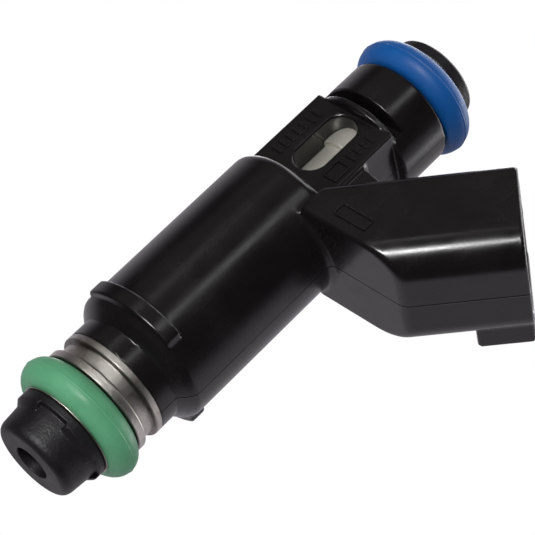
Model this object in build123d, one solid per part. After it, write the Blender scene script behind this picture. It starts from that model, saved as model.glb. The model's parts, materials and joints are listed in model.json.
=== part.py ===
"""Side-fed-connector port fuel injector, built as the real one is: a steel valve train and magnet
inside a nylon overmould, two O-rings, a spray cap and a two-blade electrical socket.

Units are millimetres. The origin is on the injector's axis at the face of the spray cap.
+Z runs up the axis to the fuel inlet, +X leans with the electrical connector.
"""

import os
from math import cos, radians, sin, sqrt

from build123d import *

# ---------------------------------------------------------------- driving dimensions
CLEAR = 0.02            # gap left around every buried piece

BARREL_R = 7.91         # overmoulded coil barrel
BARREL_TOP = 39.0
BARREL_LOW = 15.8       # where the cone to the collar starts
SHOULDER_R = 1.3        # rounding of the barrel's upper edge
COLLAR_R = 6.41
COLLAR_TOP = 14.1
HOUSING_LOW = 11.87     # the overmould stops on the steel body's upper flange

BLOCK_HALF = 5.18       # square block that holds the windows
NECK_R = 6.455          # upper barrel under the rail seal
NECK_LOW = 49.35
NECK_TOP = 55.9

SLOT_LOW = 50.05        # retaining-clip slots, one each side
SLOT_HIGH = 51.2
SLOT_FLAT = 3.5         # distance from the axis to a slot's floor
SLOT_END = 4.9          # the clip's legs stop here

WINDOW_HALF = 1.9       # obround windows through to the fuel tube
WINDOW_LOW = 40.75
WINDOW_HIGH = 48.9

LUG_R = 8.65            # two band-shaped lugs at the barrel's foot
LUG_HALF_X = 5.55
LUG_LOW = 15.6
LUG_HIGH = 17.45

LEAN = 47.5             # connector axis, degrees from +Z
CONN_MID = -20.12       # section centre, measured across the connector axis
CONN_HALF_T = 5.75
CONN_HALF_Y = 7.1
CONN_CORNER = 3.4       # corners on the outer, downward side
CONN_BACK_CORNER = 1.3  # corners on the side towards the barrel
CONN_MOUTH = 49.7       # mouth plane, measured along the connector axis
CONN_FLOOR = 39.3       # socket floor
CONN_WALL = 1.3
UNDERSIDE = 35.65       # flat underside of the connector's root
GUSSET_TOP = 44.8
GUSSET_HALF = 4.5

BLADE_Y = 2.9           # terminal blades, either side of the middle plane
BLADE_W = 1.5
BLADE_T = 0.8
BLADE_TIP = 46.3

TOWER = (3.75, 4.95, 3.8)   # bobbin's terminal tower: inner x, outer x, half width
TOWER_TOP = 37.2

BODY_FLANGE_R = 6.42    # steel valve body
BODY_GROOVE_R = 5.9
BODY_NECK_R = 3.9
SEAL_RING_R = 5.62      # thin rim that carries the manifold seal from below
BODY_BORE_R = 3.05

GREEN_R = 7.45          # manifold seal, outside radius
GREEN_Z = 6.70
BLUE_R = 7.36           # rail seal, outside radius
BLUE_Z = 58.0
CORD_R = 1.76
LAND_HALF = 0.25        # half height of the flash land on each O-ring

POLE_R = 2.74           # pole piece above the coil
TUBE_R = 3.30           # inlet tube above the weld
TUBE_LOW = 46.3
TUBE_MOUTH_R = 3.80
TUBE_TOP = 61.5
RETAINER_R = 5.07
RETAINER_LOW = 60.2
RETAINER_TOP = 61.8

BALL_R = 1.5875
BALL_Z = 4.65
LIFT = 0.09             # valve travel
ARMATURE_TOP = 21.9
POLE_FACE = 22.0

CAP_R = 4.95            # spray cap
CAP_SKIRT_R = 5.5
CAP_TOP = 4.74
CAP_LOBE_TOP = 3.9      # the gaps between the four snap lobes reach up to here
CAP_HOLE_R = 2.0


# ---------------------------------------------------------------- helpers
def lathe(points):
    """Solid of revolution about Z from a closed (radius, height) outline."""
    outline = Polyline(*[(r, 0, z) for r, z in points], close=True)
    return revolve(make_face(outline), axis=Axis.Z, revolution_arc=360)


def tube(low, high, outer, inner=0.0):
    """Plain ring or disc between two heights."""
    points = [(inner, low), (outer, low), (outer, high), (inner, high)]
    return lathe(points)


def block(x0, x1, y0, y1, z0, z1):
    """Axis-aligned box from its limits."""
    box = Box(x1 - x0, y1 - y0, z1 - z0)
    return Pos((x0 + x1) / 2, (y0 + y1) / 2, (z0 + z1) / 2) * box


def lean_plane(s, t=0.0):
    """Plane square to the connector axis: local X runs across it (t), local Y runs along -Y."""
    c = cos(radians(LEAN))
    n = sin(radians(LEAN))
    origin = (s * n + t * c, 0, s * c - t * n)
    return Plane(origin=origin, x_dir=(c, 0, -n), z_dir=(n, 0, c))


def lean_prism(s0, s1, half_t, half_y, corner, back_corner):
    """Prism along the connector axis, its two sides of corners rounded by different amounts."""
    flat = Rectangle(2 * half_t, 2 * half_y)
    flat = fillet(flat.vertices().sort_by(Axis.X)[:2], back_corner)
    flat = fillet(flat.vertices().sort_by(Axis.X)[-2:], corner)
    return extrude(lean_plane(s0, CONN_MID) * flat, s1 - s0)


def lean_box(s0, s1, t0, t1, y0, y1):
    """Plain block in the connector's own directions."""
    section = lean_plane(s0, (t0 + t1) / 2) * Rectangle(t1 - t0, abs(y1 - y0))
    solid = extrude(section, s1 - s0)
    return Pos(0, (y0 + y1) / 2, 0) * solid


def lean_xz(s, t):
    """Row-frame X and Z of a point given along and across the connector axis."""
    c = cos(radians(LEAN))
    n = sin(radians(LEAN))
    return s * n + t * c, s * c - t * n


# ---------------------------------------------------------------- buried envelopes
def terminal(side, grow=0.0):
    """One blade: up out of the bobbin, across, then along the connector axis into the socket."""
    x_end, z_end = lean_xz(BLADE_TIP, CONN_MID)
    z_run = 38.3
    x_bend = (CONN_MID + sin(radians(LEAN)) * z_run) / cos(radians(LEAN))
    path = [(4.4, 33.6), (4.4, z_run), (x_bend, z_run), (x_end, z_end)]
    half = BLADE_T / 2 + grow
    strip = None
    for (xa, za), (xb, zb) in zip(path, path[1:]):
        length = sqrt((xb - xa) ** 2 + (zb - za) ** 2)
        ux = (xb - xa) / length
        uz = (zb - za) / length
        middle = ((xa + xb) / 2, 0, (za + zb) / 2)
        frame = Plane(origin=middle, x_dir=(ux, 0, uz), z_dir=(0, -1, 0))
        piece = extrude(frame * Rectangle(length + 2 * half, 2 * half), BLADE_W / 2 + grow, both=True)
        strip = piece if strip is None else strip + piece
    return Pos(0, side * BLADE_Y, 0) * strip


def metal_core():
    """Everything the nylon flows around, grown by the clearance."""
    g = CLEAR
    core = tube(HOUSING_LOW - 1, 16.5, 5.2 + g)
    core += tube(16.5 - g, 35.5 + g, 6.9 + g)
    core += tube(35.5, TUBE_LOW - g, POLE_R + g)
    core += tube(TUBE_LOW - g, 54.6, TUBE_R + g)
    core += lathe([(0, 54.6), (TUBE_R + g, 54.6), (TUBE_MOUTH_R + g, 55.6), (TUBE_MOUTH_R + g, 57), (0, 57)])
    core += block(TOWER[0] - g, TOWER[1] + g, -TOWER[2] - g, TOWER[2] + g, 35.0, TOWER_TOP + g)
    return core


# ---------------------------------------------------------------- overmould
def barrel_outside():
    """Turned outline of the overmould: collar, cone, coil barrel, upper barrel."""
    low = lathe([
        (0, HOUSING_LOW), (COLLAR_R, HOUSING_LOW), (COLLAR_R, COLLAR_TOP), (6.6, COLLAR_TOP + 0.15),
        (7.45, 15.0), (7.8, 15.45), (BARREL_R, BARREL_LOW), (BARREL_R, BARREL_TOP), (0, BARREL_TOP),
    ])
    rim = low.edges().group_by(Axis.Z)[-1]
    low = fillet(rim, SHOULDER_R)
    upper = tube(NECK_LOW, NECK_TOP, NECK_R)
    upper = fillet(upper.edges().group_by(Axis.Z)[-1], 0.25)
    square = block(-BLOCK_HALF, BLOCK_HALF, -BLOCK_HALF, BLOCK_HALF, BARREL_TOP - 2, NECK_LOW)
    square = fillet(square.edges().filter_by(Axis.Z), 0.3)
    return low + square + upper


def foot_lugs():
    """Two band segments on the -Y and +Y sides, ends cut square."""
    band = tube(LUG_LOW, LUG_HIGH, LUG_R, 6.95)
    band = chamfer(band.edges().filter_by(GeomType.CIRCLE).sort_by(SortBy.RADIUS)[-2:], 0.12)
    return band & block(-LUG_HALF_X, LUG_HALF_X, -12, 12, LUG_LOW - 1, LUG_HIGH + 1)


def connector_outside():
    """Leaning shroud, cut off flat underneath and square at the block's side."""
    prism = lean_prism(20, CONN_MOUTH, CONN_HALF_T, CONN_HALF_Y, CONN_CORNER, CONN_BACK_CORNER)
    keep = block(BLOCK_HALF, 45, -9, 9, UNDERSIDE, 75)
    root = prism & keep
    gusset = block(3, 9.3, -GUSSET_HALF, GUSSET_HALF, 38, GUSSET_TOP)
    gusset = fillet(gusset.edges().filter_by(Axis.Z).group_by(Axis.X)[-1], 3.4)
    latch = lean_box(43.7, CONN_MOUTH, CONN_MID - 4.5, CONN_MID + 4.3, 4.5, 9.8)
    latch = fillet(latch.edges().filter_by(Axis.Y), 0.45)
    infill = block(2, BLOCK_HALF + 0.6, -6.2, 6.2, UNDERSIDE, 38.5)
    return root + (gusset & block(0, 12, -9, 9, 30, 60)) + latch + infill


def socket():
    """Hollow of the shroud, from the mouth down to the blade floor."""
    half_t = CONN_HALF_T - CONN_WALL
    half_y = CONN_HALF_Y - CONN_WALL
    return lean_prism(CONN_FLOOR, CONN_MOUTH + 5, half_t, half_y, CONN_CORNER - CONN_WALL, 0.5)


def windows():
    """Obround openings through the block on the -Y and +Y sides."""
    height = WINDOW_HIGH - WINDOW_LOW
    face = Plane.XZ * SlotOverall(height, 2 * WINDOW_HALF, rotation=90)
    hole = extrude(face, 12, both=True)
    return Pos(0, 0, (WINDOW_LOW + WINDOW_HIGH) / 2) * hole


def clip_slots():
    """Straight slots for the legs of the rail clip, open towards -X, stopped towards +X."""
    cut = block(-9, SLOT_END, -9, -SLOT_FLAT, SLOT_LOW, SLOT_HIGH)
    return cut + mirror(cut, about=Plane.XZ)


def frame_mark(x0, x1, z0, z1, y, line=0.22, high=0.14):
    """Raised empty frame on a face that looks along -Y."""
    outer = block(x0, x1, y - high, y + 0.3, z0, z1)
    inner = block(x0 + line, x1 - line, y - high - 1, y + 1, z0 + line, z1 - line)
    return outer - inner


def mould_marks():
    """Blank raised marks: rows of plain bars and two empty frames."""
    y = -BLOCK_HALF
    marks = frame_mark(2.75, 4.6, 41.2, 43.7, y)
    marks += frame_mark(8.3, 12.5, 36.95, 38.6, -CONN_HALF_Y)
    for k in range(7):
        z = 41.0 + 1.02 * k
        marks += block(-4.15, -2.75, y - 0.14, y + 0.3, z, z + 0.42)
    for k in range(4):
        z = 44.5 + 1.0 * k
        marks += block(2.95, 4.3, y - 0.14, y + 0.3, z, z + 0.42)
    return marks


def housing():
    """Nylon overmould in one shot around the magnet, tube and terminals."""
    shell = barrel_outside() + foot_lugs() + connector_outside() + mould_marks()
    shell -= metal_core()
    shell -= socket()
    shell -= windows()
    shell -= clip_slots()
    for side in (-1, 1):
        shell -= terminal(side, CLEAR)
    return shell


# ---------------------------------------------------------------- seals, retainer, cap
def o_ring(radius, height):
    """Torus with the narrow flat land that a two-part mould leaves round its equator."""
    section = Pos(radius - CORD_R, 0, height) * (Rot(90, 0, 0) * Circle(CORD_R))
    ring = revolve(section, axis=Axis.Z, revolution_arc=360)
    return ring + tube(height - LAND_HALF, height + LAND_HALF, radius, radius - 1.0)


def retainer():
    """Top ring that keeps the rail seal on, snapped into a groove of the tube's mouth."""
    return lathe([
        (3.83, RETAINER_LOW), (4.85, RETAINER_LOW), (RETAINER_R, RETAINER_LOW + 0.2),
        (RETAINER_R, RETAINER_TOP - 0.3), (4.8, RETAINER_TOP), (3.83, RETAINER_TOP),
        (3.83, 61.15), (3.69, 61.05), (3.69, 60.85), (3.83, 60.75),
    ])


def spray_cap():
    """Push-on nylon cap: collar under the seal, four snap lobes, rounded nose."""
    body = lathe([
        (CAP_HOLE_R, 0), (4.0, 0), (4.35, 0.12), (4.62, 0.38), (4.78, 0.8), (CAP_R, 2.95),
        (CAP_SKIRT_R, 3.55), (CAP_SKIRT_R, CAP_TOP - 0.15), (CAP_SKIRT_R - 0.15, CAP_TOP),
        (BODY_NECK_R + CLEAR, CAP_TOP), (BODY_NECK_R + CLEAR, 1.9), (2.4, 1.9), (CAP_HOLE_R, 1.6),
    ])
    ring = tube(2.5, CAP_LOBE_TOP, 7.0, CAP_R + 0.01)
    for k in range(4):
        wedge = extrude(Polygon((0, 0), (9, -3.19), (9, 3.19), align=None), 8)
        body -= ring & (Rot(0, 0, -78.5 + 90 * k) * wedge)
    return body


# ---------------------------------------------------------------- steel body and magnet
def valve_body():
    """Turned steel body: seal neck, two flanges with a groove, shoulder and armature tube."""
    outside = lathe([
        (0, 2.1), (3.7, 2.1), (BODY_NECK_R, 2.3), (BODY_NECK_R, CAP_TOP + 0.02),
        (SEAL_RING_R, CAP_TOP + 0.02), (SEAL_RING_R, CAP_TOP + 0.18), (BODY_NECK_R, CAP_TOP + 0.18),
        (BODY_NECK_R, 8.48), (BODY_FLANGE_R - 0.12, 8.48),
        (BODY_FLANGE_R, 8.6), (BODY_FLANGE_R, 9.42), (BODY_FLANGE_R - 0.12, 9.54), (BODY_GROOVE_R, 9.54),
        (BODY_GROOVE_R, 11.05), (BODY_FLANGE_R - 0.12, 11.05), (BODY_FLANGE_R, 11.15),
        (BODY_FLANGE_R, HOUSING_LOW), (5.2, HOUSING_LOW), (5.2, 16.5), (3.55, 16.5), (3.55, 20.0), (0, 20.0),
    ])
    bore = tube(0, 2.35, 2.3) + tube(2.35, 6.6, 3.02) + tube(6.6, 13.2, 2.2)
    bore += lathe([(0, 13.2), (2.2, 13.2), (BODY_BORE_R, 13.8), (BODY_BORE_R, 21), (0, 21)])
    return outside - bore


def non_magnetic_shell():
    """Stainless sleeve that bridges the air gap."""
    return tube(20.0, 24.0, 3.55, BODY_BORE_R)


def pole_piece():
    """Fixed core: the armature's stop below, the fuel way above the coil."""
    return lathe([
        (1.62, POLE_FACE), (3.03, POLE_FACE), (3.03, 24.0), (3.54, 24.0), (3.54, 35.5), (POLE_R, 35.5),
        (POLE_R, 49.0), (1.62, 49.0),
    ])


def inlet_tube():
    """Drawn tube welded over the pole piece, its mouth expanded for the filter and the seal."""
    return lathe([
        (POLE_R + 0.01, TUBE_LOW), (TUBE_R, TUBE_LOW), (TUBE_R, 54.6), (TUBE_MOUTH_R, 55.6),
        (TUBE_MOUTH_R, 60.75), (3.66, 60.85), (3.66, 61.05), (TUBE_MOUTH_R, 61.15),
        (TUBE_MOUTH_R, TUBE_TOP - 0.15), (3.65, TUBE_TOP), (3.2, TUBE_TOP), (3.2, 55.9),
        (POLE_R + 0.01, 54.9),
    ])


def armature():
    """Moving core with a pocket for the spring and a fuel way down the middle."""
    core = lathe([
        (1.31, 14.2), (2.8, 14.2), (3.0, 14.4), (3.0, ARMATURE_TOP), (1.6, ARMATURE_TOP), (1.6, 19.2),
        (0.95, 19.2), (0.95, 17.5), (1.31, 17.5),
    ])
    for k in range(3):
        hole = Rot(0, 0, 120 * k) * (Pos(2.25, 0, 16.8) * Cylinder(0.35, 6.2))
        core -= hole
    return core


def needle_tube():
    """Hollow stem between armature and ball, cross-drilled low down."""
    stem = tube(5.97, 17.49, 1.30, 0.90)
    for angle in (0, 90):
        stem -= Rot(0, 0, angle) * (Pos(0, 0, 9.0) * (Rot(90, 0, 0) * Cylinder(0.45, 6)))
    return stem


def valve_ball():
    """Ball that closes the seat."""
    return Pos(0, 0, BALL_Z) * Sphere(BALL_R)


def valve_seat():
    """Hardened disc with the conical seat and the outlet."""
    return lathe([
        (0.55, 2.62), (3.0, 2.62), (3.0, 4.60), (2.209, 4.60), (0.55, 2.941),
    ])


def ball_guide():
    """Plate that centres the ball, with flow holes round it."""
    plate = tube(4.61, 5.5, 3.0, 1.62)
    for k in range(5):
        plate -= Rot(0, 0, 72 * k) * (Pos(2.3, 0, 5.0) * Cylinder(0.38, 2))
    return plate


def director_plate():
    """Thin plate whose small holes aim the spray."""
    plate = tube(2.37, 2.61, 3.0)
    for k in range(4):
        plate -= Rot(0, 0, 45 + 90 * k) * (Pos(0.33, 0, 2.5) * Cylinder(0.12, 2))
    return plate


def return_spring():
    """Closing spring between the armature and the adjusting tube."""
    wire = 0.19
    low = 19.2 + wire + 0.01
    high = 31.0 - wire - 0.01
    coil = Helix(pitch=(high - low) / 11, height=high - low, radius=1.2)
    section = Plane(origin=coil @ 0, z_dir=coil % 0) * Circle(wire)
    return Pos(0, 0, low) * sweep(section, path=coil)


def adjusting_tube():
    """Slit tube pressed down the pole piece to set the spring's preload."""
    sleeve = tube(31.0, 39.0, 1.60, 1.1)
    return sleeve - block(0, 3, -0.2, 0.2, 30, 40)


def coil_bobbin():
    """Spool with the tower that carries the terminals through the flux washer."""
    spool = tube(17.72, 34.08, 4.1, 3.60)
    spool += tube(17.72, 18.7, 6.25, 3.60)
    spool += tube(33.1, 34.08, 6.25, 3.60)
    spool += block(TOWER[0], TOWER[1], -TOWER[2], TOWER[2], 33.6, TOWER_TOP)
    for side in (-1, 1):
        spool -= terminal(side, 0.01)
    return spool


def coil_winding():
    """Enamelled copper winding on the spool."""
    return tube(18.71, 33.09, 6.0, 4.11)


def coil_can():
    """Steel cup that returns the flux round the coil."""
    return tube(16.52, 17.7, 6.9, 3.57) + tube(17.7, 35.5, 6.9, 6.28)


def flux_washer():
    """Steel washer that closes the can, notched for the terminal tower."""
    return tube(34.1, 35.48, 6.26, 3.56) - block(TOWER[0] - 0.02, 8, -TOWER[2] - 0.02, TOWER[2] + 0.02, 33, 37)


# ---------------------------------------------------------------- inlet filter
def filter_collar():
    """Brass collar pressed into the tube's mouth above the filter cage."""
    return tube(58.7, 61.0, 3.18, 2.5)


def filter_frame():
    """Plastic cage of the filter: ring, four ribs and a closed foot."""
    cage = tube(57.6, 58.69, 3.17, 1.75) + tube(49.3, 50.3, 2.45)
    for k in range(4):
        cage += Rot(0, 0, 45 + 90 * k) * block(1.86, 2.45, -0.35, 0.35, 50.2, 57.7)
    return cage


def filter_screen():
    """Fine mesh sleeve inside the cage."""
    return tube(50.31, 57.59, 1.84, 1.74)


# ---------------------------------------------------------------- parts list
PARTS = {
    "housing": housing,
    "spray_cap": spray_cap,
    "lower_o_ring": lambda: o_ring(GREEN_R, GREEN_Z),
    "upper_o_ring": lambda: o_ring(BLUE_R, BLUE_Z),
    "o_ring_retainer": retainer,
    "valve_body": valve_body,
    "non_magnetic_shell": non_magnetic_shell,
    "pole_piece": pole_piece,
    "inlet_tube": inlet_tube,
    "armature": armature,
    "needle_tube": needle_tube,
    "valve_ball": valve_ball,
    "valve_seat": valve_seat,
    "ball_guide": ball_guide,
    "director_plate": director_plate,
    "return_spring": return_spring,
    "adjusting_tube": adjusting_tube,
    "coil_bobbin": coil_bobbin,
    "coil_winding": coil_winding,
    "coil_can": coil_can,
    "flux_washer": flux_washer,
    "terminal_left": lambda: terminal(-1),
    "terminal_right": lambda: terminal(1),
    "filter_collar": filter_collar,
    "filter_frame": filter_frame,
    "filter_screen": filter_screen,
}

os.makedirs("parts", exist_ok=True)
for name, make in PARTS.items():
    solid = make()
    export_step(solid, f"parts/{name}.step")
    box = solid.bounding_box()
    print(name, "volume", round(solid.volume, 2), "z", round(box.min.Z, 2), round(box.max.Z, 2))
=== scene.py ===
# %% [markdown]
# # A port fuel injector with its finished skin
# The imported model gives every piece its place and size. This lesson puts a finished skin on the pieces
# that can be seen: a black nylon overmould, a matt spray cap, two coloured O-rings, turned and drawn
# steel, tinned blades and the little inlet filter. Lengths are thought of in millimetres and turned into
# metres at the last moment, because a maker's drawing of an injector is in millimetres.

# %% Load the fixed frame
import json
import bpy
import numpy as np
from mathutils import Matrix


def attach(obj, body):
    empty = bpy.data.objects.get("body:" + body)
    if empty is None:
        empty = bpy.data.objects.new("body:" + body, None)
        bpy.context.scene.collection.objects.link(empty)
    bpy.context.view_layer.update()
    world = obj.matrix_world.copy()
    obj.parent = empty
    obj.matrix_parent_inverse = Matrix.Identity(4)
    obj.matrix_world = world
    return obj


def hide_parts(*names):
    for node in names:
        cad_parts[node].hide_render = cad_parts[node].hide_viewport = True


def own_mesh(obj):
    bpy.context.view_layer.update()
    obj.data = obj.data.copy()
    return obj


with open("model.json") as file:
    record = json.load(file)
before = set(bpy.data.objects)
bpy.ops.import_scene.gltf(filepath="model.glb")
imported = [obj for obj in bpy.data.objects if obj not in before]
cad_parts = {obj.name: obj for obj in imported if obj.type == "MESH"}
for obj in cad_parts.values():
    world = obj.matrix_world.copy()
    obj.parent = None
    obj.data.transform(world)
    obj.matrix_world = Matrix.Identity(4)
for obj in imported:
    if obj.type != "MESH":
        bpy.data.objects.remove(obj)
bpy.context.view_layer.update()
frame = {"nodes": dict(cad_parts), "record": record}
MM = 0.001

# %% [markdown]
# ## Meshes from arrays
# Every new piece is worked out as whole arrays: points in millimetres, and four-sided faces that index
# them. The vertex normals are weighted by face area, so a wide flat stays flat right up to its small
# rounded edge. That is what makes an edge catch the light as a thin clean line.

# %% Array helpers
def soft_normals(points, quads):
    """Each vertex normal is the sum of its faces' normals, each as long as the face is large."""
    p = points[quads]
    face = np.cross(p[:, 2] - p[:, 0], p[:, 3] - p[:, 1])
    total = np.zeros_like(points)
    for axis in range(3):
        total[:, axis] = np.bincount(quads.ravel(), np.repeat(face[:, axis], 4), len(points))
    return total / np.maximum(np.linalg.norm(total, axis=1, keepdims=True), 1e-12)


def grid_faces(rows, columns, close_rows=True, close_columns=True):
    """Quads of a grid of points numbered row by row; a closed direction joins its last line to its first."""
    i = np.arange(rows if close_rows else rows - 1)[:, None]
    j = np.arange(columns if close_columns else columns - 1)[None, :]
    a = i * columns + j
    b = i * columns + (j + 1) % columns
    c = ((i + 1) % rows) * columns + (j + 1) % columns
    d = ((i + 1) % rows) * columns + j
    return np.stack([a, b, c, d], -1).reshape(-1, 4)


def outward(points, quads):
    """Turns every face round if the closed shell's signed volume is negative."""
    p = points[quads]
    volume = np.einsum("ij,ij->i", p[:, 0], np.cross(p[:, 1], p[:, 2]) + np.cross(p[:, 2], p[:, 3])).sum()
    return quads if volume > 0 else quads[:, ::-1]


def merge(*parts):
    """Several (points, quads) shells as one list of points and quads."""
    starts = np.cumsum([0] + [len(p) for p, _ in parts[:-1]])
    return np.concatenate([p for p, _ in parts]), np.concatenate([q + s for (_, q), s in zip(parts, starts)])


def make_piece(name, shell, body, stands_for, normals=None):
    """Puts a shell into a mesh at its own place and hangs it on its body."""
    points, quads = shell
    mesh = bpy.data.meshes.new(name)
    mesh.vertices.add(len(points))
    mesh.vertices.foreach_set("co", (points * MM).astype(np.float32).ravel())
    mesh.loops.add(quads.size)
    mesh.loops.foreach_set("vertex_index", quads.astype(np.int32).ravel())
    mesh.polygons.add(len(quads))
    mesh.polygons.foreach_set("loop_start", np.arange(len(quads), dtype=np.int32) * 4)
    mesh.update(calc_edges=True)
    mesh.polygons.foreach_set("use_smooth", np.ones(len(quads), bool))
    normals = soft_normals(points, quads) if normals is None else normals
    mesh.normals_split_custom_set_from_vertices(normals)
    made = bpy.data.objects.new(name, mesh)
    bpy.context.scene.collection.objects.link(made)
    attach(made, body)
    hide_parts(*stands_for)
    print(name, "triangles", 2 * len(quads), "low", points.min(0).round(2), "high", points.max(0).round(2))
    return made


# %% [markdown]
# ## Turned pieces
# Most of an injector is turned: a closed outline of radius and height, carried round the axis. A sharp
# corner never exists on the real thing, so each corner of the outline carries its own small rounding.

# %% Lathe helper
def rounded_outline(corners, steps=6):
    """Each corner (radius, height, rounding) becomes a parabola arc, tangent to its two sides."""
    c = np.array(corners, float)
    p = c[:, :2]
    back = np.roll(p, 1, 0) - p
    ahead = np.roll(p, -1, 0) - p
    back_len = np.linalg.norm(back, axis=1, keepdims=True)
    ahead_len = np.linalg.norm(ahead, axis=1, keepdims=True)
    reach = np.minimum(c[:, 2:3], 0.45 * np.minimum(back_len, ahead_len))
    leave = (back / back_len * reach)[:, None]
    arrive = (ahead / ahead_len * reach)[:, None]
    s = np.linspace(0, 1, steps)[None, :, None]
    arc = p[:, None] + leave * (1 - s) ** 2 + arrive * s ** 2
    return arc.reshape(-1, 2)


def turned(corners, turns=180):
    """Point (i, j) is outline point j turned by i steps about the axis."""
    outline = rounded_outline(corners)
    angle = np.linspace(0, 2 * np.pi, turns, endpoint=False)[:, None]
    r = outline[None, :, 0]
    z = np.broadcast_to(outline[None, :, 1], (turns, len(outline)))
    points = np.stack([r * np.cos(angle), r * np.sin(angle), z], -1).reshape(-1, 3)
    return points, outward(points, grid_faces(turns, len(outline)))


# %% [markdown]
# ## The overmould as a distance field
# The housing is one shot of glass-filled nylon: barrel, windowed block, seal neck and leaning connector
# run into each other with moulded fillets. Stitched primitives would leave hard creases there. Instead a
# function says how far any point is from the nylon, negative inside, and shapes are joined or cut with a
# soft minimum, which leaves a fillet of a chosen size. The skin is where that distance is zero.

# %% Soft joins and simple distances
def soft_min(a, b, k):
    """Smaller of two distances, blended over a band of width k, which rounds an inside corner."""
    h = np.maximum(k - np.abs(a - b), 0) / k
    return np.minimum(a, b) - h * h * k / 4


def soft_max(a, b, k):
    """Larger of two distances, blended in the same way, which rounds an outside corner."""
    return -soft_min(-a, -b, k)


def box_distance(x, y, z, low, high):
    """Distance to a box: how far the point lies outside its half sizes, or how deep inside."""
    parts = [np.abs(v - (a + b) / 2) - (b - a) / 2 for v, a, b in zip((x, y, z), low, high)]
    outside = sum(np.maximum(d, 0) ** 2 for d in parts) ** 0.5
    inside = np.minimum(np.maximum(np.maximum(parts[0], parts[1]), parts[2]), 0)
    return outside + inside


def plate_distance(u, v, half_u, half_v, corner):
    """Distance to a rounded rectangle: a smaller rectangle's distance less the corner radius."""
    du = np.abs(u) - half_u + corner
    dv = np.abs(v) - half_v + corner
    return np.hypot(np.maximum(du, 0), np.maximum(dv, 0)) + np.minimum(np.maximum(du, dv), 0) - corner


def outline_distance(r, z, corners):
    """Distance to a closed outline in radius and height, negative where a ray count says inside."""
    best = np.full(np.broadcast(r, z).shape, 1e9, np.float32)
    inside = np.zeros(best.shape, bool)
    for (r0, z0), (r1, z1) in zip(corners, corners[1:] + corners[:1]):
        er, ez = r1 - r0, z1 - z0
        t = np.clip(((r - r0) * er + (z - z0) * ez) / (er * er + ez * ez), 0, 1)
        best = np.minimum(best, (r - r0 - t * er) ** 2 + (z - z0 - t * ez) ** 2)
        if ez != 0:
            crosses = ((z0 > z) != (z1 > z)) & (r < er * (z - z0) / ez + r0)
            inside ^= crosses
    return np.where(inside, -1, 1) * np.sqrt(best)


# %% [markdown]
# ## The housing's own numbers
# These are the drawing's dimensions in millimetres. The connector leans 47.5 degrees off the axis, so
# its shapes are written in two directions of its own: s runs out along the connector, t runs across it.

# %% Housing outside
LEAN = np.radians(47.5)
LEAN_S = (np.sin(LEAN), np.cos(LEAN))
CONN_MID = -20.12
CONN_MOUTH = 49.7
CONN_HALF_T = 5.75
CONN_HALF_Y = 7.1
CONN_UNDER = 35.65
BLOCK_HALF = 5.18
BARREL_R = 7.91
BARREL = [(0, 11.87), (6.41, 11.87), (6.41, 14.1), (6.6, 14.25), (7.45, 15.0), (7.8, 15.45),
          (BARREL_R, 15.8), (BARREL_R, 37.0), (0, 37.0)]


def lean_axes(x, z):
    """Distance along the connector, s, and across it, t."""
    n, c = LEAN_S
    return x * n + z * c, x * c - z * n


def connector_outside(x, y, z):
    """Rounded-rectangle shroud along s, cut flat underneath and at the block's side."""
    s, t = lean_axes(x, z)
    tube = plate_distance(t - CONN_MID, y, CONN_HALF_T, CONN_HALF_Y, np.where(t < CONN_MID, 1.3, 3.4))
    tube = soft_max(tube, s - CONN_MOUTH, 0.35)
    tube = soft_max(tube, CONN_UNDER - z, 0.55)
    tube = soft_max(tube, BLOCK_HALF - x, 0.2)
    latch = box_distance(s, t, y, (44.1, CONN_MID - 4.1, 4.9), (49.3, CONN_MID + 3.9, 9.4)) - 0.4
    return soft_min(tube, latch, 0.4)


def housing_outside(x, y, z):
    """Barrel, lugs, windowed block, neck and connector, joined with moulded fillets."""
    r = np.hypot(x, y)
    barrel = outline_distance(r, z, BARREL)
    high = plate_distance(r, z - 32.0, BARREL_R, 7.0, 1.3)
    barrel = np.minimum(barrel, high)
    lug = soft_max(r - 8.65, np.abs(z - 16.525) - 0.925, 0.3)
    lug = soft_max(lug, np.abs(x) - 5.55, 0.25)
    lug = np.maximum(lug, 6.0 - r)
    block = plate_distance(x, y, BLOCK_HALF, BLOCK_HALF, 0.3)
    block = np.maximum(block, np.maximum(36.0 - z, z - 49.6))
    neck = soft_max(r - 6.455, z - 55.9, 0.45)
    neck = soft_max(neck, 49.35 - z, 0.2)
    gusset = soft_max(plate_distance(x - 5.0, y, 4.3, 4.5, 3.4), z - 44.8, 0.5)
    gusset = np.maximum(gusset, 38 - z)
    infill = box_distance(x, y, z, (2, -6.2, CONN_UNDER), (5.8, 6.2, 38.5))
    body = soft_min(barrel, lug, 0.25)
    body = soft_min(body, block, 0.5)
    body = soft_min(body, neck, 0.2)
    root = np.minimum(connector_outside(x, y, z), infill)
    body = soft_min(body, root, 0.8)
    return soft_min(body, gusset, 0.6)


# %% [markdown]
# The openings come next: the magnet and the fuel tube sit in a stepped hollow, the plug's socket runs
# down to the floor where the blades come through, and windows and clip slots cross the block and neck.
# Where the two mould halves met, the skin stands a few hundredths proud along the middle plane. It is
# added before the hollow is cut, because the flash is only on the outside.

# %% Housing openings
CORE = [(0, 10.0), (5.22, 10.0), (5.22, 16.48), (6.92, 16.48), (6.92, 35.52), (2.76, 35.52), (2.76, 46.28),
        (3.32, 46.28), (3.32, 54.6), (3.82, 55.6), (3.82, 58.0), (0, 58.0)]
BLADE_PATH = [(4.4, 33.6), (4.4, 38.3), (12.016, 38.3), (20.543, 46.114)]
BLADE_Y = 2.9


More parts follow.
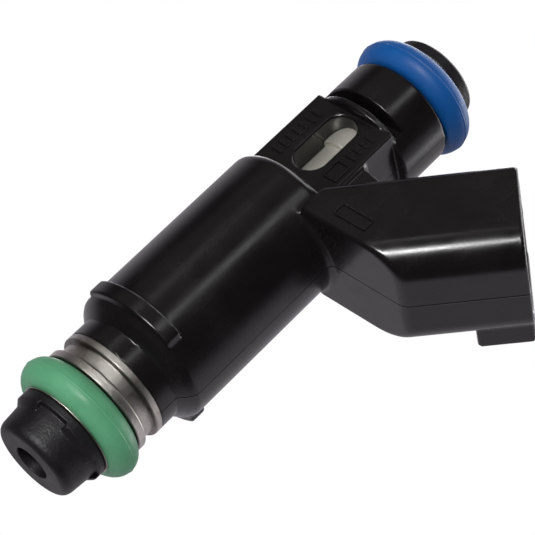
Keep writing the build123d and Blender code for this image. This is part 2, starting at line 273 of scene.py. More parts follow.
def strip_distance(x, z, path):
    """Distance to a line of straight runs in the middle plane."""
    best = 1e9
    for (x0, z0), (x1, z1) in zip(path, path[1:]):
        ex, ez = x1 - x0, z1 - z0
        t = np.clip(((x - x0) * ex + (z - z0) * ez) / (ex * ex + ez * ez), 0, 1)
        best = np.minimum(best, np.hypot(x - x0 - t * ex, z - z0 - t * ez))
    return best


def housing_distance(x, y, z):
    """The finished overmould: outside skin with its flash line, less every opening."""
    s, t = lean_axes(x, z)
    r = np.hypot(x, y)
    skin = housing_outside(x, y, z) - 0.04 * np.exp(-(y / 0.06) ** 2)
    skin = np.maximum(skin, np.maximum(-7.9 - x, x - 26.9))
    socket = plate_distance(t - CONN_MID, y, 4.45, 5.8, np.where(t < CONN_MID, 0.5, 2.1))
    socket = soft_max(socket, 39.3 - s, 0.3)
    window = np.hypot(x, np.maximum(np.abs(z - 44.825) - 2.175, 0)) - 1.9
    slot = soft_max(3.5 - np.abs(y), np.maximum(np.abs(z - 50.625) - 0.575, x - 4.9), 0.15)
    skin = soft_max(skin, -socket, 0.3)
    skin = soft_max(skin, -window, 0.3)
    skin = soft_max(skin, -slot, 0.18)
    tower = box_distance(x, y, z, (3.73, -3.82, 35.0), (4.97, 3.82, 37.22))
    core = np.minimum(outline_distance(r, z, CORE), tower)
    blade = np.maximum(strip_distance(x, z, BLADE_PATH) - 0.42, np.abs(np.abs(y) - BLADE_Y) - 0.77)
    return np.maximum(skin, -np.minimum(core, blade))


# %% [markdown]
# ## A skin on the field
# The field is read on a grid that is fine where there is detail and coarse along the plain barrel. Each
# cell that the surface crosses gets one point, the mean of the crossings on its edges, and each crossed
# edge gets a face between its four cells. The points are then slid along the slope of the field until
# the distance is zero, and the slope itself is the normal, so the gloss runs as smoothly as on the real
# moulding.

# %% Surface finder
def grid_lines(*stops):
    """From start, spacing, stop, spacing, stop...: each run is cut into whole steps of about its spacing."""
    lines = [np.array([stops[0]])]
    for spacing, stop in zip(stops[1::2], stops[2::2]):
        start = lines[-1][-1]
        count = max(1, int(round((stop - start) / spacing)))
        lines.append(np.linspace(start, stop, count + 1)[1:])
    return np.concatenate(lines)


def slope(field, p, e=2e-3):
    """Gradient from four readings at the corners of a small tetrahedron."""
    corners = np.array([[1, -1, -1], [-1, -1, 1], [-1, 1, -1], [1, 1, 1]], float)
    return sum(k[None] * field(*(p + e * k).T)[:, None] for k in corners) / (4 * e)


def skin_of(field, xs, ys, zs):
    """One point per crossed cell, one quad per crossed edge, then slid on to the surface."""
    f = field(xs[:, None, None], ys[None, :, None], zs[None, None, :]).astype(np.float32)
    inside = f < 0
    shape = tuple(n - 1 for n in f.shape)
    count = sum(inside[a:a + shape[0], b:b + shape[1], c:c + shape[2]].astype(np.int8)
                for a in (0, 1) for b in (0, 1) for c in (0, 1))
    cell = np.argwhere((count > 0) & (count < 8))
    number = np.full(shape, -1, np.int32)
    number[tuple(cell.T)] = np.arange(len(cell))
    total = np.zeros((len(cell), 3))
    hits = np.zeros(len(cell))
    corner = {(a, b, c): (f[cell[:, 0] + a, cell[:, 1] + b, cell[:, 2] + c],
                          np.stack([xs[cell[:, 0] + a], ys[cell[:, 1] + b], zs[cell[:, 2] + c]], -1))
              for a in (0, 1) for b in (0, 1) for c in (0, 1)}
    for one, (f1, p1) in corner.items():
        for axis in range(3):
            if one[axis]:
                continue
            two = tuple(1 if n == axis else v for n, v in enumerate(one))
            f2, p2 = corner[two]
            crossed = (f1 < 0) != (f2 < 0)
            share = np.where(crossed, f1 / np.where(crossed, f1 - f2, 1), 0)
            total += np.where(crossed[:, None], p1 + share[:, None] * (p2 - p1), 0)
            hits += crossed
    points = total / hits[:, None]
    quads = []
    for axis in range(3):
        near = [slice(1, -1)] * 3
        far = [slice(1, -1)] * 3
        near[axis], far[axis] = slice(0, -1), slice(1, None)
        a, b = inside[tuple(near)], inside[tuple(far)]
        spot = np.argwhere(a != b)
        flip = a[tuple(spot.T)]
        spot = spot + 1
        spot[:, axis] -= 1
        u, v = np.eye(3, dtype=int)[(axis + 1) % 3], np.eye(3, dtype=int)[(axis + 2) % 3]
        ring = [number[tuple((spot - k).T)] for k in (0 * u, u, u + v, v)]
        face = np.stack(ring, -1)
        quads.append(np.where(flip[:, None], face, face[:, ::-1]))
    for _ in range(3):
        g = slope(field, points)
        size = np.maximum((g ** 2).sum(1, keepdims=True), 0.2)
        move = field(*points.T)[:, None] * g / size
        points = points - np.clip(move, -0.12, 0.12)
    g = slope(field, points)
    return points, np.concatenate(quads), g / np.maximum(np.linalg.norm(g, axis=1, keepdims=True), 1e-9)


# %% [markdown]
# The mould leaves raised marks on two faces. Here they are blank: plain bars in two columns and two empty
# frames. Each is made of small studs, a stack of rounded rectangles that draws in towards its top, sunk a
# little into the face so that no gap shows.

# %% Mould marks
TWELVE_LID = np.array([[k, k + 1, 10 - k, 11 - k] for k in range(5)])


def ring_of_corners(half_u, half_v, corner):
    """Twelve points round a rounded rectangle: three of a quarter turn at each corner's own centre."""
    turn = np.radians([0, 45, 90, 90, 135, 180, 180, 225, 270, 270, 315, 360])
    su = np.array([1, 1, 1, -1, -1, -1, -1, -1, -1, 1, 1, 1])
    sv = np.array([1, 1, 1, 1, 1, 1, -1, -1, -1, -1, -1, -1])
    return su * (half_u - corner) + corner * np.cos(turn), sv * (half_v - corner) + corner * np.sin(turn)


def stud(x0, x1, z0, z1, face, proud=0.17):
    """Ring k sits at level k outward along -Y and is drawn in by inset k; both ends are closed."""
    rings = []
    for inset, level in ((0, 0.2), (0, -0.55 * proud), (0.025, -0.85 * proud), (0.07, -proud)):
        half_u, half_v = (x1 - x0) / 2 - inset, (z1 - z0) / 2 - inset
        u, v = ring_of_corners(half_u, half_v, min(0.09, 0.8 * half_u, 0.8 * half_v))
        rings.append(np.stack([(x0 + x1) / 2 + u, np.full(12, face + level), (z0 + z1) / 2 + v], -1))
    points = np.concatenate(rings)
    quads = np.concatenate([grid_faces(4, 12, close_rows=False), TWELVE_LID + 36, TWELVE_LID[:, ::-1]])
    return points, outward(points, quads)


def frame_studs(x0, x1, z0, z1, face, line=0.22):
    """Four studs round a rectangle."""
    return [stud(x0, x1, z0, z0 + line, face), stud(x0, x1, z1 - line, z1, face),
            stud(x0, x0 + line, z0, z1, face), stud(x1 - line, x1, z0, z1, face)]


marks = frame_studs(2.75, 4.6, 41.2, 43.7, -BLOCK_HALF) + frame_studs(8.3, 12.5, 36.95, 38.6, -CONN_HALF_Y)
marks += [stud(-4.15, -2.75, 41.0 + 1.02 * k, 41.42 + 1.02 * k, -BLOCK_HALF) for k in range(7)]
marks += [stud(2.95, 4.3, 44.5 + 1.0 * k, 44.92 + 1.0 * k, -BLOCK_HALF) for k in range(4)]
marks = merge(*marks)
print("mark faces", len(marks[1]))

# %% [markdown]
# Now the skin is found. The grid is tight across the flash line, over the barrel's lower taper and round
# the clip slots, and wide along the plain barrel, where nothing changes from one line to the next.

# %% Find the housing's skin
fine = 0.285
xs = grid_lines(-9.0, fine, 27.3)
ys = grid_lines(-9.0, fine, -0.22, 0.055, 0.22, fine, 10.1)
zs = grid_lines(11.5, 0.16, 15.9, fine, 17.8, 0.5, 34.6, fine, 49.0, 0.15, 51.6, fine, 56.2)
points, quads, normals = skin_of(housing_distance, xs, ys, zs)
print("grid", len(xs), len(ys), len(zs), "faces", len(quads))
shell = merge((points, quads), marks)
normals = np.concatenate([normals, soft_normals(*marks)])
housing = make_piece("nylon_overmould", shell, "injector_body", ["housing"], normals)

# %% [markdown]
# ## Seals and cap
# An O-ring is moulded in two halves, so it has a narrow band round its equator with a hair of flash in
# the middle of it. It is drawn as a full ring whose round section is stretched out to that band.

# %% O-rings
def o_ring(radius, height, cord=1.76, turns=260, around=120):
    """Section angle v gives a circle; at the equator a bell curve lifts a ridge between two grooves."""
    u = np.linspace(0, 2 * np.pi, turns, endpoint=False)[:, None]
    v = np.linspace(-np.pi, np.pi, around, endpoint=False)[None, :]
    v = v - 0.9 * v * np.exp(-(v / 0.35) ** 2)
    side = cord * np.cos(v)
    up = cord * np.sin(v)
    ridge = 0.05 * np.exp(-(up / 0.05) ** 2)
    groove = 0.02 * np.exp(-((np.abs(up) - 0.14) / 0.05) ** 2)
    flash = (side > 0) * (ridge - groove)
    waver = 0.006 * np.sin(3 * u + 1) + 0.004 * np.sin(7 * u)
    r = radius - cord - 0.062 + side + flash + waver * (1 + np.cos(v)) / 2
    points = np.stack([r * np.cos(u), r * np.sin(u), height + up + 0 * u], -1).reshape(-1, 3)
    return points, outward(points, grid_faces(turns, around))


lower_seal = make_piece("green_seal", o_ring(7.45, 6.70), "injector_body", ["lower_o_ring"])
upper_seal = make_piece("blue_seal", o_ring(7.36, 58.0), "injector_body", ["upper_o_ring"])

# %% [markdown]
# The spray cap is pushed over the nozzle and snaps behind a lip with four lobes. Its outline changes round
# the turn: over a lobe the skirt flares early, and in a gap it stays slim until just under the top ring.
# Both outlines have the same number of corners, so the shape is a blend of the two.

# %% Spray cap
CAP_LOBE = [(2.0, 0, .15), (4.0, 0, .1), (4.35, .12, .2), (4.62, .38, .2), (4.78, .8, .3), (4.95, 2.95, .15),
            (5.5, 3.55, .15), (5.5, 3.75, .05), (5.5, 4.59, .1), (5.35, 4.74, .1), (3.92, 4.74, .08),
            (3.92, 1.9, .1), (2.4, 1.9, .08), (2.0, 1.6, .1)]
CAP_GAP = [(2.0, 0, .15), (4.0, 0, .1), (4.35, .12, .2), (4.62, .38, .2), (4.78, .8, .3), (4.95, 2.95, .15),
           (4.96, 3.75, .12), (5.5, 3.9, .1), (5.5, 4.59, .1), (5.35, 4.74, .1), (3.92, 4.74, .08),
           (3.92, 1.9, .1), (2.4, 1.9, .08), (2.0, 1.6, .1)]


def spray_cap(turns=480):
    """Outline point j at angle u is lobe times w plus gap times one less w, w a steep smooth step in u."""
    lobe, gap = rounded_outline(CAP_LOBE), rounded_outline(CAP_GAP)
    u = np.linspace(0, 2 * np.pi, turns, endpoint=False)
    off = (np.degrees(u) + 78.5 + 45) % 90 - 45
    w = np.clip((np.abs(off) - 19.5) / 1.2 + 0.5, 0, 1)
    w = (w * w * (3 - 2 * w))[:, None, None]
    outline = lobe[None] * w + gap[None] * (1 - w)
    points = np.stack([outline[..., 0] * np.cos(u)[:, None], outline[..., 0] * np.sin(u)[:, None],
                       outline[..., 1]], -1).reshape(-1, 3)
    return points, outward(points, grid_faces(turns, len(lobe)))


cap = make_piece("push_on_cap", spray_cap(), "injector_body", ["spray_cap"])
RETAINER = [(3.83, 60.2, .1), (4.85, 60.2, .1), (5.07, 60.4, .12), (5.07, 61.5, .15), (4.8, 61.8, .15),
            (3.83, 61.8, .12), (3.83, 61.15, .05), (3.69, 61.05, .03), (3.69, 60.85, .03), (3.83, 60.75, .05)]
retainer = make_piece("seal_retainer", turned(RETAINER), "injector_body", ["o_ring_retainer"])

# %% [markdown]
# ## Turned and drawn steel
# The valve body is turned from stainless bar, with two flanges and a groove that the nylon stops against.
# The inlet tube is drawn and its mouth is expanded over the filter. Both are outlines on the lathe helper.
# The small roundings are real: a turned edge is broken by the tool, and a drawn edge is never sharp.

# %% Steel outlines
VALVE_BODY = [(2.3, 2.1, .1), (3.7, 2.1, .1), (3.9, 2.3, .1), (3.9, 4.76, .05), (5.62, 4.76, .05),
              (5.62, 4.92, .05), (3.9, 4.92, .05), (3.9, 8.48, .15), (6.3, 8.48, .08), (6.42, 8.6, .1),
              (6.42, 9.42, .1), (6.3, 9.54, .08), (5.9, 9.54, .25), (5.9, 11.05, .25), (6.3, 11.05, .08),
              (6.42, 11.15, .08), (6.42, 11.87, .06), (5.2, 11.87, .1), (5.2, 16.5, .1), (3.55, 16.5, .1),
              (3.55, 20.0, .05), (3.05, 20.0, .05), (3.05, 13.8, .2), (2.2, 13.2, .2), (2.2, 6.6, .1),
              (3.02, 6.6, .05), (3.02, 2.35, .05), (2.3, 2.35, .05)]
INLET_TUBE = [(2.75, 46.3, .05), (3.3, 46.3, .22), (3.3, 54.6, .5), (3.8, 55.6, .5), (3.8, 60.75, .05),
              (3.66, 60.85, .04), (3.66, 61.05, .04), (3.8, 61.15, .05), (3.8, 61.35, .1), (3.65, 61.5, .1),
              (3.2, 61.5, .12), (3.2, 55.9, .3), (2.75, 54.9, .3)]
POLE_PIECE = [(1.62, 22.0, .1), (3.03, 22.0, .1), (3.03, 24.0, .05), (3.54, 24.0, .05), (3.54, 35.5, .05),
              (2.74, 35.5, .1), (2.74, 49.0, .1), (1.62, 49.0, .1)]
FILTER_COLLAR = [(2.5, 58.7, .1), (3.18, 58.7, .08), (3.18, 61.0, .15), (2.5, 61.0, .2)]
body = make_piece("turned_body", turned(VALVE_BODY), "injector_body", ["valve_body"])
tube = make_piece("drawn_inlet_tube", turned(INLET_TUBE), "injector_body", ["inlet_tube"])
pole = make_piece("ground_pole_piece", turned(POLE_PIECE), "injector_body", ["pole_piece"])
collar = make_piece("pressed_collar", turned(FILTER_COLLAR), "injector_body", ["filter_collar"])

# %% [markdown]
# ## Terminal blades
# A blade is strip metal, folded twice on its way out of the bobbin. Its rounded section is carried along
# the path, mitred at each fold, and narrowed at the tip so that the plug's contact can ride up on to it.

# %% Blades
def blade(side):
    """Section point j at station i: path point plus across times the mitred normal plus along Y."""
    path = np.array(BLADE_PATH)
    run = np.diff(path, axis=0)
    run /= np.linalg.norm(run, axis=1, keepdims=True)
    flat = np.stack([-run[:, 1], run[:, 0]], -1)
    joint = (flat[:-1] + flat[1:]) / (1 + (flat[:-1] * flat[1:]).sum(1, keepdims=True))
    normal = np.concatenate([flat[:1], joint, flat[-1:], flat[-1:], flat[-1:]])
    tip = path[-1]
    line = np.concatenate([path[:-1], [tip - run[-1] * 0.9], [tip - run[-1] * 0.12], [tip]])
    thick = np.array([.4, .4, .4, .4, .22, .14])[:, None]
    wide = np.array([.75, .75, .75, .75, .58, .48])[:, None]
    corner = np.radians([5, 45, 85, 95, 135, 175, 185, 225, 265, 275, 315, 355])
    across = np.sign(np.cos(corner)) * np.abs(np.cos(corner)) ** 0.28
    along = np.sign(np.sin(corner)) * np.abs(np.sin(corner)) ** 0.28
    x = line[:, None, 0] + thick * across * normal[:, None, 0]
    z = line[:, None, 1] + thick * across * normal[:, None, 1]
    y = side * BLADE_Y + wide * along + 0 * x
    points = np.stack([x, y, z], -1).reshape(-1, 3)
    sides = grid_faces(len(line), 12, close_rows=False)
    last = (len(line) - 1) * 12
    quads = np.concatenate([sides, TWELVE_LID + last, TWELVE_LID[:, ::-1]])
    return points, outward(points, quads)


blade_left = make_piece("tinned_blade_left", blade(-1), "injector_body", ["terminal_left"])
blade_right = make_piece("tinned_blade_right", blade(1), "injector_body", ["terminal_right"])

# %% [markdown]
# ## Finishes
# Every finish is a small node network on the piece's own coordinates, so it stays put when the view
# changes. Scales are per metre: a noise scale of 1000 has features about a millimetre across. A finish
# helper keeps each recipe down to the lines that differ: a colour that drifts, a roughness that drifts,
# and a bump made of the marks the process leaves.

# %% Finish helper
class Finish:
    """A material with its shader, and short ways to add noise, stretch, mix and bump."""

    def __init__(self, name):
        self.material = bpy.data.materials.new(name)
        self.material.use_nodes = True
        self.tree = self.material.node_tree
        self.shader = self.tree.nodes["Principled BSDF"]
        self.place = self.tree.nodes.new("ShaderNodeTexCoord").outputs["Object"]

    def link(self, a, b):
        """Joins an output to an input."""
        self.tree.links.new(a, b)

    def stretched(self, x, y, z):
        """The piece's own coordinates, each times its own scale."""
        node = self.tree.nodes.new("ShaderNodeMapping")
        node.inputs["Scale"].default_value = (x, y, z)
        self.link(self.place, node.inputs["Vector"])
        return node.outputs["Vector"]

    def noise(self, scale, detail=3.0, rough=0.5, where=None, twist=0.0):
        """Layered noise from 0 to 1, each layer twice as fine and weaker by the roughness."""
        node = self.tree.nodes.new("ShaderNodeTexNoise")
        node.inputs["Scale"].default_value = scale
        node.inputs["Detail"].default_value = detail
        node.inputs["Roughness"].default_value = rough
        node.inputs["Distortion"].default_value = twist
        self.link(where or self.place, node.inputs["Vector"])
        return node.outputs["Fac"]

    def ranged(self, value, low, high, to_low, to_high):
        """Low to high becomes to_low to to_high on a straight line, held at both ends."""
        node = self.tree.nodes.new("ShaderNodeMapRange")
        for key, number in zip(("From Min", "From Max", "To Min", "To Max"), (low, high, to_low, to_high)):
            node.inputs[key].default_value = number
        self.link(value, node.inputs["Value"])
        return node.outputs["Result"]

    def maths(self, a, b, how="ADD"):
        """Two values put together by one sum, of the kind that is named."""
        node = self.tree.nodes.new("ShaderNodeMath")
        node.operation = how
        for value, socket in zip((a, b), node.inputs):
            if isinstance(value, (int, float)):
                socket.default_value = value
            else:
                self.link(value, socket)
        return node.outputs[0]

    def colour(self, fac, dark, light):
        """Dark where the factor is 0, light where it is 1, a straight mix between."""
        node = self.tree.nodes.new("ShaderNodeMix")
        node.data_type = "RGBA"
        self.link(fac, node.inputs[0])
        for socket, value in zip((node.inputs[6], node.inputs[7]), (dark, light)):
            if isinstance(value, tuple):
                socket.default_value = (*value, 1)
            else:
                self.link(value, socket)
        return node.outputs[2]

    def near_height(self, height, reach):
        """One at a height on the axis in metres, falling to nothing a reach away."""
        split = self.tree.nodes.new("ShaderNodeSeparateXYZ")
        self.link(self.place, split.inputs[0])
        away = self.maths(self.maths(split.outputs["Z"], height, "SUBTRACT"), 0.0, "ABSOLUTE")
        return self.ranged(away, 0, reach, 1, 0)

    def bump(self, height, depth, strength=1.0, over=None):
        """Height 0 to 1 stands for a depth in metres."""
        node = self.tree.nodes.new("ShaderNodeBump")
        node.inputs["Strength"].default_value = strength
        node.inputs["Distance"].default_value = depth
        self.link(height, node.inputs["Height"])
        if over is not None:
            self.link(over, node.inputs["Normal"])
        return node.outputs["Normal"]

    def finish(self, colour, rough, normal, **fixed):
        """Colour, roughness and bump go to the shader, and whatever is even all over is set on it."""
        self.link(colour, self.shader.inputs["Base Color"])
        self.link(rough, self.shader.inputs["Roughness"])
        self.link(normal, self.shader.inputs["Normal"])
        for key, value in fixed.items():
            self.shader.inputs[key.replace("_", " ")].default_value = value
        return self.material


# %% [markdown]
# Moulded nylon is filled with glass. Where it wetted the polished tool it is glossy with a faint cloud of
# flow marks, and the glass ends leave a very fine pebble. Handling adds short fine rubs.

# %% Nylon finishes
def moulded_nylon(name, dark, light, rough_low, rough_high, grain, grain_depth, index=1.53):
    """Colour follows the cloud with a few light flecks; roughness is half cloud, half rubs along the axis."""
    f = Finish(name)
    cloud = f.noise(160, 4, 0.55, twist=0.6)
    fleck = f.ranged(f.noise(5200, 2, 0.6), 0.66, 0.74, 0, 1)
    colour = f.colour(f.ranged(cloud, 0.3, 0.7, 0, 1), dark, light)
    colour = f.colour(f.maths(fleck, 0.35, "MULTIPLY"), colour, tuple(v * 2.6 + 0.01 for v in light))
    rub = f.noise(420, 5, 0.65, where=f.stretched(1, 1, 0.12))
    mixed = f.maths(f.maths(cloud, 0.5, "MULTIPLY"), f.maths(rub, 0.5, "MULTIPLY"))
    rough = f.ranged(mixed, 0.35, 0.65, rough_low, rough_high)
    flow = f.bump(f.noise(230, 2, 0.4), 0.000015)
    pebble = f.bump(f.noise(grain, 3, 0.6), grain_depth, over=flow)
    return f.finish(colour, rough, pebble, IOR=index)


nylon = moulded_nylon("nylon_gloss_black", (0.0050, 0.0042, 0.0044), (0.0084, 0.0070, 0.0072),
                      0.17, 0.31, 3600, 0.000005)
cap_nylon = moulded_nylon("nylon_matt_black", (0.006, 0.0048, 0.0064), (0.011, 0.009, 0.0115),
                          0.36, 0.54, 3200, 0.00005, index=1.44)

# %% [markdown]
# Rubber is dull and a little dusty. It takes its colour from pigment, and the surface copies a fine
# blasted mould.

# %% Rubber finishes
def seal_rubber(name, dark, light, rough_low=0.34, rough_high=0.5):
    """Colour drifts between two shades under a lighter dust; the bump is a fine noise on a broad one."""
    f = Finish(name)
    drift = f.noise(260, 4, 0.6)
    dust = f.ranged(f.noise(2400, 4, 0.7), 0.6, 0.8, 0, 0.35)
    colour = f.colour(f.ranged(drift, 0.3, 0.7, 0, 1), dark, light)
    colour = f.colour(dust, colour, tuple(min(1, v * 1.25 + 0.03) for v in light))
    rough = f.ranged(f.noise(900, 4, 0.6), 0.3, 0.7, rough_low, rough_high)
    skin = f.bump(f.noise(2600, 4, 0.6), 0.000012)
    skin = f.bump(f.noise(420, 2, 0.5), 0.00005, over=skin)
    return f.finish(colour, rough, skin, IOR=1.38)


green_rubber = seal_rubber("rubber_sea_green", (0.080, 0.29, 0.145), (0.105, 0.35, 0.185))
blue_rubber = seal_rubber("rubber_strong_blue", (0.003, 0.073, 0.28), (0.006, 0.095, 0.33), 0.38, 0.52)

# %% [markdown]
# Turned steel carries rings from the tool, so its bump changes quickly along the axis and hardly round
# it. Drawn tube is smoother, with faint lines along the draw. A brownish tint from the heat of assembly
# sits in patches, and painted shade lies in thin dark lines at the foot of each flange and at the groove's
# edges.

# %% Metal finishes
def worked_metal(name, dark, light, rough_low, rough_high, lines, depth, tint=None, metallic=1.0, painted_shade_lines=()):
    """Noise stretched along the tool's path gives the lines; roughness is 0.6 lines plus 0.4 specks."""
    f = Finish(name)
    drift = f.noise(300, 4, 0.6)
    ring = f.noise(1.0, 5, 0.65, where=f.stretched(*lines))
    stain = f.ranged(f.noise(210, 5, 0.7, twist=1.2), 0.55, 0.72, 0, 1)
    colour = f.colour(f.ranged(drift, 0.3, 0.7, 0, 1), dark, light)
    if tint:
        colour = f.colour(f.maths(stain, 0.6, "MULTIPLY"), colour, tint)
    # Painted shade: a patchy dark brown line at each listed height, in the corners of the flanges and the
    # groove.
    for height, reach in painted_shade_lines:
        patchy_shade = f.maths(f.near_height(height, reach), f.ranged(drift, 0.3, 0.6, 0.5, 1), "MULTIPLY")
        colour = f.colour(patchy_shade, colour, (0.035, 0.026, 0.018))
    mixed = f.maths(f.maths(ring, 0.6, "MULTIPLY"), f.maths(f.noise(1500, 4, 0.6), 0.4, "MULTIPLY"))
    rough = f.ranged(mixed, 0.35, 0.65, rough_low, rough_high)
    marks = f.bump(ring, depth)
    marks = f.bump(f.noise(2300, 3, 0.6), depth * 0.5, over=marks)
    return f.finish(colour, rough, marks, Metallic=metallic)


ROUND = (160, 160, 14000)
ALONG = (9000, 9000, 150)
# Heights and reaches, in metres, of the painted shade lines at the flanges' feet and the groove's edges.
FLANGE_FOOT_SHADE = ((0.00958, 0.00022), (0.01102, 0.00024), (0.01184, 0.0001), (0.00848, 0.0002))
steel = worked_metal("steel_turned", (0.48, 0.46, 0.425), (0.72, 0.695, 0.64), 0.29, 0.46,
                     ROUND, 0.00003, (0.26, 0.16, 0.08), painted_shade_lines=FLANGE_FOOT_SHADE)
bright = worked_metal("steel_drawn", (0.54, 0.525, 0.46), (0.68, 0.66, 0.59), 0.34, 0.48,
                      ALONG, 0.000003, metallic=0.6)
grey_iron = worked_metal("steel_magnetic", (0.36, 0.36, 0.36), (0.50, 0.49, 0.48), 0.30, 0.45,
                         ROUND, 0.000006)
chrome = worked_metal("steel_polished", (0.70, 0.70, 0.71), (0.82, 0.82, 0.82), 0.06, 0.14,
                      ROUND, 0.000001)
spring_wire = worked_metal("steel_spring", (0.30, 0.29, 0.28), (0.42, 0.41, 0.39), 0.25, 0.38,
                           ALONG, 0.000002, (0.25, 0.20, 0.14))
copper = worked_metal("copper_enamelled", (0.50, 0.19, 0.08), (0.72, 0.31, 0.14), 0.22, 0.36,
                      (400, 400, 5200), 0.00003)
tin = worked_metal("tin_matt", (0.58, 0.57, 0.54), (0.72, 0.71, 0.67), 0.30, 0.44,
                   (2500, 2500, 2500), 0.000004, (0.42, 0.38, 0.30))
brass = worked_metal("brass_drawn", (0.66, 0.48, 0.19), (0.80, 0.62, 0.30), 0.22, 0.36,
                     ALONG, 0.000003, (0.45, 0.29, 0.12))
bobbin_nylon = moulded_nylon("nylon_bobbin", (0.055, 0.048, 0.040), (0.085, 0.075, 0.060),
                             0.40, 0.55, 2600, 0.00001)
filter_nylon = moulded_nylon("nylon_natural", (0.42, 0.39, 0.32), (0.55, 0.52, 0.44),
                             0.38, 0.52, 3000, 0.000008)

# %% [markdown]
# The filter's screen is woven cloth. Two sets of fine waves, one round the sleeve and one along it, give
# the weave's over and under.

# %% Filter cloth
f = Finish("nylon_woven")
rings = f.tree.nodes.new("ShaderNodeTexWave")
rings.bands_direction = "Z"
rings.inputs["Scale"].default_value = 1600
f.link(f.place, rings.inputs["Vector"])
cross = f.tree.nodes.new("ShaderNodeTexWave")
cross.bands_direction = "DIAGONAL"
cross.inputs["Scale"].default_value = 1500
f.link(f.stretched(1, 1, 0.02), cross.inputs["Vector"])
weave = f.maths(rings.outputs["Fac"], cross.outputs["Fac"], "MULTIPLY")
screen_cloth = f.finish(f.colour(weave, (0.22, 0.20, 0.15), (0.62, 0.58, 0.48)),
                        f.ranged(weave, 0, 1, 0.65, 0.45), f.bump(weave, 0.00004), IOR=1.53)

# %% [markdown]
# Each new piece gets its finish here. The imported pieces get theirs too, from the slot that each one is
# listed under, so that the magnet, the coil and the needle are right when the housing is taken away.

# %% Hand the finishes out
new_pieces = {housing: nylon, cap: cap_nylon, retainer: cap_nylon, lower_seal: green_rubber,
              upper_seal: blue_rubber, body: steel, tube: bright, pole: bright, collar: brass,
              blade_left: tin, blade_right: tin}
for made, finish in new_pieces.items():
    made.data.materials.append(finish)
slot_finish = {"nylon_black": nylon, "cap_black": cap_nylon, "rubber_green": green_rubber,
               "rubber_blue": blue_rubber, "body_steel": steel, "tube_steel": bright,
               "magnet_steel": grey_iron, "hard_chrome": chrome,
               "spring_steel": spring_wire, "bobbin_nylon": bobbin_nylon, "copper_wire": copper,
               "tin_plate": tin, "brass": brass, "filter_nylon": filter_nylon}
slot_of = {part["node"]: part["material_slot"] for part in frame["record"]["subparts"]}
for name, node in frame["nodes"].items():
    node.data.materials.clear()
    node.data.materials.append(screen_cloth if name == "filter_screen" else slot_finish[slot_of[name]])
print("finishes:", len(bpy.data.materials))

# %% [markdown]
# The closing spring sits between the adjusting tube and the armature; the needle lifts by 0.09 mm. Here the
# spring only gets a copy of its mesh as its own; nothing shortens it.

# %% Spring with a mesh of its own
spring = frame["nodes"]["return_spring"]
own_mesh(spring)

# %% [markdown]
# ## Studio
# The object is shown against white, with a dark space in front of it so that its black nylon stays black.
# The white behind wraps round the silhouettes as thin bright rims. The camera has a long lens and stands
# well off, below the middle of the object and rolled by 46 degrees, as one holds a small part up to look
# at it.

# %% Camera
def standing(axes, place):
    """A world matrix from three axes, one in each column, and a place."""
    rows = [[*row, value] for row, value in zip(axes.tolist(), place.tolist())]
    return Matrix(rows + [[0, 0, 0, 1]])


azimuth, elevation, roll = np.radians([34.214, -22.417, 46.007])
centre = np.array([120.90, -173.78, -55.10]) * MM
right = np.array([np.cos(azimuth), np.sin(azimuth), 0])
level = np.array([np.sin(azimuth), -np.cos(azimuth), 0])
ahead = -level * np.cos(elevation) - np.array([0, 0, np.sin(elevation)])
up = np.cross(right, ahead)
cam_x = np.cos(roll) * right + np.sin(roll) * up
cam_y = -np.sin(roll) * right + np.cos(roll) * up
camera_data = bpy.data.cameras.new("product_camera")
camera_data.lens = 149.7
camera_data.sensor_width = 36
camera_data.clip_start = 0.005
camera = bpy.data.objects.new("product_camera", camera_data)
camera.matrix_world = standing(np.stack([cam_x, cam_y, -ahead], 1), centre)
bpy.context.scene.collection.objects.link(camera)
bpy.context.scene.camera = camera
bpy.context.scene.view_settings.view_transform = "Standard"

# %% [markdown]
# Four soft boxes stand on the camera's side. The key is small and a little to the left, for the hard streak
# along rounded edges. One narrow strip further left draws the thin line beside that streak, a taller one
# above the camera gives a soft sheen, and a large dim panel at the left gives the flat faces their even
# grey. None of them is seen by the camera itself.

# %% Soft boxes
middle = np.array([7.0, 0.0, 32.0]) * MM


def soft_box(name, direction, distance, width, height, power, turn=0.0, tint=(1, 1, 1)):
    """A lit panel at a distance along (right, up, toward the camera), facing the object."""
    aim = direction[0] * right + direction[1] * up - direction[2] * ahead
    aim = aim / np.linalg.norm(aim)
    data = bpy.data.lights.new(name, "AREA")
    data.shape = "RECTANGLE"
    data.size, data.size_y, data.energy, data.color = width, height, power, tint
    box = bpy.data.objects.new(name, data)
    side = np.cross(up, aim)
    side = side / np.linalg.norm(side)
    top = np.cross(aim, side)
    c, s = np.cos(np.radians(turn)), np.sin(np.radians(turn))
    axes = np.stack([c * side + s * top, -s * side + c * top, aim], 1)
    box.matrix_world = standing(axes, middle + aim * distance)
    box.visible_camera = False
    bpy.context.scene.collection.objects.link(box)


soft_box("key_panel", (-0.43, 0.03, 0.90), 0.45, 0.11, 0.07, 1.5, turn=35)
soft_box("edge_strip", (-0.76, 0.36, 0.54), 0.45, 0.012, 0.22, 0.035, turn=35)
soft_box("front_strip", (-0.20, 0.70, 0.69), 0.45, 0.05, 0.26, 0.10)
soft_box("side_panel", (-0.80, 0.52, 0.25), 0.40, 0.34, 0.40, 0.045, tint=(1.0, 0.92, 0.80))

# %% [markdown]
# Three wide panels light what the camera doesn't see: the top, the far side and the back. They hang high,
# because an upright wall seen from below mirrors only what is a little above the horizon, so the front
# hardly changes, and someone who walks round the object still finds it lit from everywhere.

# %% Wide panels
def from_world(x, y, z):
    """A direction in the frame's own axes, told as right, up and toward the camera."""
    arrow = np.array([x, y, z], float)
    return arrow @ right, arrow @ up, -(arrow @ ahead)


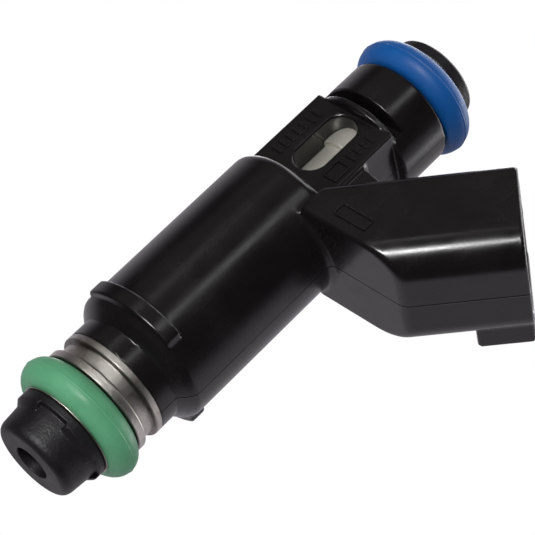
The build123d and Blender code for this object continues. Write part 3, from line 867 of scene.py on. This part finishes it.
soft_box("top_panel", from_world(0.0, 0.15, 1.0), 0.60, 0.70, 0.70, 3.2)
soft_box("back_panel", from_world(-0.70, 0.75, 1.05), 0.60, 0.30, 0.30, 1.0)
soft_box("far_side_panel", from_world(0.70, 0.70, 1.05), 0.60, 0.30, 0.30, 0.9)

# %% [markdown]
# The surroundings are a smooth change from a nearly black front to a white back, fixed in the room. The
# camera sees plain white instead, so the object stands clear of its background.

# %% World
world = bpy.data.worlds.new("white_studio")
bpy.context.scene.world = world
world.use_nodes = True
tree = world.node_tree
tree.nodes.clear()
out = tree.nodes.new("ShaderNodeOutputWorld")
seen = tree.nodes.new("ShaderNodeBackground")
around = tree.nodes.new("ShaderNodeBackground")
around.inputs["Strength"].default_value = 0.52
seen.inputs["Color"].default_value = (1, 1, 1, 1)
place = tree.nodes.new("ShaderNodeTexCoord")
dot = tree.nodes.new("ShaderNodeVectorMath")
dot.operation = "DOT_PRODUCT"
dot.inputs[1].default_value = ((ahead + 0.35 * right) / 1.06).tolist()
ramp = tree.nodes.new("ShaderNodeValToRGB")
ramp.color_ramp.elements[0].position = 0.53
ramp.color_ramp.elements[0].color = (0.032, 0.026, 0.034, 1)
ramp.color_ramp.elements[1].position = 0.72
ramp.color_ramp.elements[1].color = (0.97, 0.91, 1.0, 1)
half = tree.nodes.new("ShaderNodeMath")
half.operation = "MULTIPLY_ADD"
half.inputs[1].default_value = 0.5
half.inputs[2].default_value = 0.5
ray = tree.nodes.new("ShaderNodeLightPath")
mix = tree.nodes.new("ShaderNodeMixShader")
tree.links.new(place.outputs["Generated"], dot.inputs[0])
tree.links.new(dot.outputs["Value"], half.inputs[0])
tree.links.new(half.outputs[0], ramp.inputs["Fac"])
tree.links.new(ramp.outputs["Color"], around.inputs["Color"])
tree.links.new(ray.outputs["Is Camera Ray"], mix.inputs["Fac"])
tree.links.new(around.outputs[0], mix.inputs[1])
tree.links.new(seen.outputs[0], mix.inputs[2])
tree.links.new(mix.outputs[0], out.inputs["Surface"])

# %% [markdown]
# The floor is a pale sheet well below the object, wide enough for every view. It rises by a hair towards
# its rim, as a paper sweep does. Reflections leave it out, as a black flag held under the object would, so
# the undersides show the dark front of the studio and the bright back of it.

# %% Floor
def paper_sweep(size=2.4, lines=40):
    """Height grows with the fourth power of the distance from the middle."""
    a = np.linspace(-size, size, lines)
    x, y = np.meshgrid(a, a, indexing="ij")
    z = -0.36 + 0.02 * ((x ** 2 + y ** 2) / size ** 2) ** 2
    return np.stack([x, y, z], -1).reshape(-1, 3), grid_faces(lines, lines, False, False)


points, quads = paper_sweep()
mesh = bpy.data.meshes.new("pale_floor")
mesh.from_pydata(points.tolist(), [], quads.tolist())
mesh.polygons.foreach_set("use_smooth", np.ones(len(quads), bool))
floor = bpy.data.objects.new("pale_floor", mesh)
bpy.context.scene.collection.objects.link(floor)
f = Finish("pale_paper")
mesh.materials.append(f.finish(f.colour(f.noise(3, 3), (0.86, 0.86, 0.86), (0.91, 0.91, 0.91)),
                               f.ranged(f.noise(9, 3), 0.3, 0.7, 0.6, 0.8), f.bump(f.noise(300, 3), 0.0001)))
floor.visible_glossy = False
